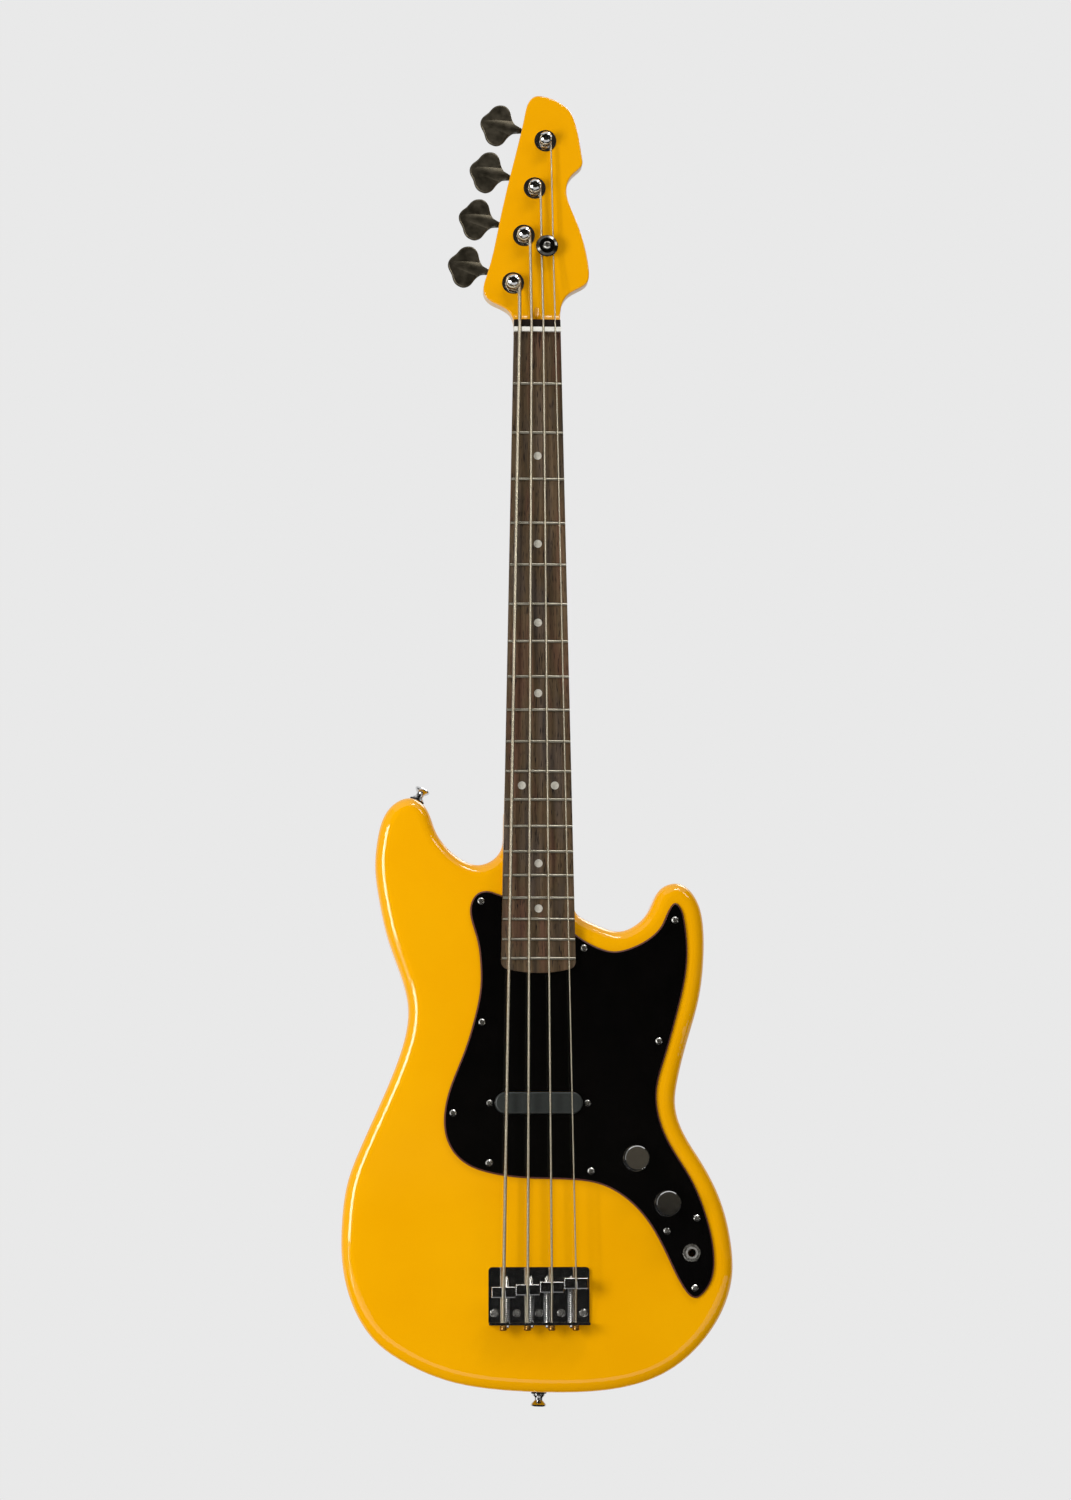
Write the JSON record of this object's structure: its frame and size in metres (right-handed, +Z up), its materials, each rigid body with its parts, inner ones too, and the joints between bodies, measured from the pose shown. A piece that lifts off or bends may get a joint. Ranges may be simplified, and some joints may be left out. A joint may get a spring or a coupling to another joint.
{
  "type": "electric bass guitar",
  "caption": "Solid-body electric bass guitar with an offset body, bolt-on neck, worm-geared tuners, covered pickup, screw-adjusted bridge saddles and control knobs.",
  "frame": {"origin": "on the centreline at the front edge of the nut, in the glue plane between fingerboard and neck, where a hanger holds the neck", "axes": "+Z up along the neck to the headstock, +X to the treble side, +Y to the back; strings face -Y"},
  "size_m": [0.3097, 0.066, 1.0596],
  "materials": {
    "yellow_lacquer": "high-gloss yellow lacquer over wood",
    "maple": "satin lacquered maple; headstock face lacquered yellow",
    "rosewood": "oiled open-pored rosewood",
    "fret_wire": "polished nickel silver",
    "marker_plastic": "off-white inlay",
    "nut_bone": "white synthetic bone",
    "steel": "plain steel",
    "string_wire": "nickel-plated round-wound wire",
    "chrome": "chrome plated",
    "dark_chrome": "dark chrome plated",
    "black_plastic": "gloss black laminate with a bevelled edge",
    "cover_plastic": "dark grey moulded plastic",
    "copper_wire": "enamelled copper winding",
    "magnet_alloy": "cast magnet alloy",
    "felt": "black wool felt",
    "lead_insulation": "insulated leads",
    "capacitor_body": "dipped capacitor"
  },
  "bodies": {
    "instrument": {"body": "yellow_lacquer", "neck": "maple", "fingerboard": "rosewood", "frets": "fret_wire", "fret_markers": "marker_plastic", "nut": "nut_bone", "truss_rod": "steel", "neck_plate": "chrome", "neck_screws": "chrome", "strap_buttons": "chrome", "strap_button_screws": "chrome", "strap_button_felts": "felt", "string_tree": "chrome", "string_tree_screw": "chrome", "string_e": "string_wire", "string_a": "string_wire", "string_d": "string_wire", "string_g": "string_wire", "tuner_housings": "chrome", "tuner_bushings": "chrome", "tuner_screws": "chrome", "bridge_plate": "chrome", "bridge_screws": "chrome", "intonation_springs": "steel", "pickguard": "black_plastic", "pickguard_screws": "chrome", "pickup_springs": "steel", "pot_housings": "steel", "pot_nuts": "chrome", "capacitor": "capacitor_body", "jack_socket": "chrome", "jack_nut": "chrome", "wiring": "lead_insulation"},
    "key_1": {"tuner_key_1": "dark_chrome"},
    "post_1": {"tuner_post_1": "chrome"},
    "key_2": {"tuner_key_2": "dark_chrome"},
    "post_2": {"tuner_post_2": "chrome"},
    "key_3": {"tuner_key_3": "dark_chrome"},
    "post_3": {"tuner_post_3": "chrome"},
    "key_4": {"tuner_key_4": "dark_chrome"},
    "post_4": {"tuner_post_4": "chrome"},
    "saddle_1": {"saddle_1": "chrome"},
    "intonation_1": {"intonation_screw_1": "chrome"},
    "saddle_2": {"saddle_2": "chrome"},
    "intonation_2": {"intonation_screw_2": "chrome"},
    "saddle_3": {"saddle_3": "chrome"},
    "intonation_3": {"intonation_screw_3": "chrome"},
    "saddle_4": {"saddle_4": "chrome"},
    "intonation_4": {"intonation_screw_4": "chrome"},
    "pickup": {"pickup_cover": "cover_plastic", "pickup_bobbin": "cover_plastic", "pickup_coil": "copper_wire", "pickup_magnets": "magnet_alloy"},
    "pickup_screw_1": {"pickup_screw_1": "chrome"},
    "pickup_screw_2": {"pickup_screw_2": "chrome"},
    "volume": {"volume_knob": "chrome", "volume_pot_shaft": "steel"},
    "tone": {"tone_knob": "chrome", "tone_pot_shaft": "steel"},
    "truss_nut": {"truss_rod_nut": "steel"}
  },
  "joints": [
    {"name": "key_1_turn", "type": "hinge", "parent": "instrument", "child": "key_1", "pos_m": [-0.01718, 0.02285, 0.05158], "axis": [-0.976, 0, 0.2176], "continuous": true},
    {"name": "post_1_turn", "type": "hinge", "parent": "instrument", "child": "post_1", "pos_m": [-0.0192, 0.004, 0.0425], "axis": [0, 1, 0], "continuous": true},
    {"name": "key_2_turn", "type": "hinge", "parent": "instrument", "child": "key_2", "pos_m": [-0.00831, 0.02285, 0.09135], "axis": [-0.976, 0, 0.2176], "continuous": true},
    {"name": "post_2_turn", "type": "hinge", "parent": "instrument", "child": "post_2", "pos_m": [-0.01033, 0.004, 0.08227], "axis": [0, 1, 0], "continuous": true},
    {"name": "key_3_turn", "type": "hinge", "parent": "instrument", "child": "key_3", "pos_m": [0.00056, 0.02285, 0.13112], "axis": [-0.976, 0, 0.2176], "continuous": true},
    {"name": "post_3_turn", "type": "hinge", "parent": "instrument", "child": "post_3", "pos_m": [-0.00146, 0.004, 0.12205], "axis": [0, 1, 0], "continuous": true},
    {"name": "key_4_turn", "type": "hinge", "parent": "instrument", "child": "key_4", "pos_m": [0.00943, 0.02285, 0.1709], "axis": [-0.976, 0, 0.2176], "continuous": true},
    {"name": "post_4_turn", "type": "hinge", "parent": "instrument", "child": "post_4", "pos_m": [0.00741, 0.004, 0.16182], "axis": [0, 1, 0], "continuous": true},
    {"name": "saddle_1_slide", "type": "slide", "parent": "instrument", "child": "saddle_1", "axis": [0, 0, 1], "range_m": [-0.003, 0.006], "deforming": ["intonation_springs"]},
    {"name": "intonation_1_turn", "type": "hinge", "parent": "instrument", "child": "intonation_1", "pos_m": [-0.0253, -0.003, -0.78], "axis": [0, 0, 1], "range_deg": [-4400, 2200]},
    {"name": "saddle_2_slide", "type": "slide", "parent": "instrument", "child": "saddle_2", "axis": [0, 0, 1], "range_m": [-0.003, 0.006], "deforming": ["intonation_springs"]},
    {"name": "intonation_2_turn", "type": "hinge", "parent": "instrument", "child": "intonation_2", "pos_m": [-0.0063, -0.003, -0.78], "axis": [0, 0, 1], "range_deg": [-4400, 2200]},
    {"name": "saddle_3_slide", "type": "slide", "parent": "instrument", "child": "saddle_3", "axis": [0, 0, 1], "range_m": [-0.003, 0.006], "deforming": ["intonation_springs"]},
    {"name": "intonation_3_turn", "type": "hinge", "parent": "instrument", "child": "intonation_3", "pos_m": [0.0063, -0.003, -0.78], "axis": [0, 0, 1], "range_deg": [-4400, 2200]},
    {"name": "saddle_4_slide", "type": "slide", "parent": "instrument", "child": "saddle_4", "axis": [0, 0, 1], "range_m": [-0.003, 0.006], "deforming": ["intonation_springs"]},
    {"name": "intonation_4_turn", "type": "hinge", "parent": "instrument", "child": "intonation_4", "pos_m": [0.0253, -0.003, -0.78], "axis": [0, 0, 1], "range_deg": [-4400, 2200]},
    {"name": "pickup_slide", "type": "slide", "parent": "instrument", "child": "pickup", "axis": [0, -1, 0], "range_m": [-0.002, 0.002], "deforming": ["pickup_springs", "wiring"]},
    {"name": "pickup_screw_1_turn", "type": "hinge", "parent": "instrument", "child": "pickup_screw_1", "pos_m": [-0.0388, 0, -0.6218], "axis": [0, 1, 0], "range_deg": [-1250, 1250]},
    {"name": "pickup_screw_2_turn", "type": "hinge", "parent": "instrument", "child": "pickup_screw_2", "pos_m": [0.0388, 0, -0.6218], "axis": [0, 1, 0], "range_deg": [-1250, 1250]},
    {"name": "volume_turn", "type": "hinge", "parent": "instrument", "child": "volume", "pos_m": [0.0768, 0, -0.6654], "axis": [0, 1, 0], "range_deg": [-150, 150]},
    {"name": "tone_turn", "type": "hinge", "parent": "instrument", "child": "tone", "pos_m": [0.1015, 0, -0.7009], "axis": [0, 1, 0], "range_deg": [-150, 150]},
    {"name": "truss_nut_turn", "type": "hinge", "parent": "instrument", "child": "truss_nut", "pos_m": [0, 0.0044, 0.008], "axis": [0, 0, 1], "range_deg": [-360, 360]}
  ],
  "couplings": [
    {"joint": "post_1_turn", "follows": "key_1_turn", "ratio": 0.05},
    {"joint": "post_2_turn", "follows": "key_2_turn", "ratio": 0.05},
    {"joint": "post_3_turn", "follows": "key_3_turn", "ratio": 0.05},
    {"joint": "post_4_turn", "follows": "key_4_turn", "ratio": 0.05},
    {"joint": "intonation_1_turn", "follows": "saddle_1_slide", "rad_per_m": -12566},
    {"joint": "intonation_2_turn", "follows": "saddle_2_slide", "rad_per_m": -12566},
    {"joint": "intonation_3_turn", "follows": "saddle_3_slide", "rad_per_m": -12566},
    {"joint": "intonation_4_turn", "follows": "saddle_4_slide", "rad_per_m": -12566},
    {"joint": "pickup_screw_1_turn", "follows": "pickup_slide", "rad_per_m": 10472},
    {"joint": "pickup_screw_2_turn", "follows": "pickup_slide", "rad_per_m": 10472}
  ]
}
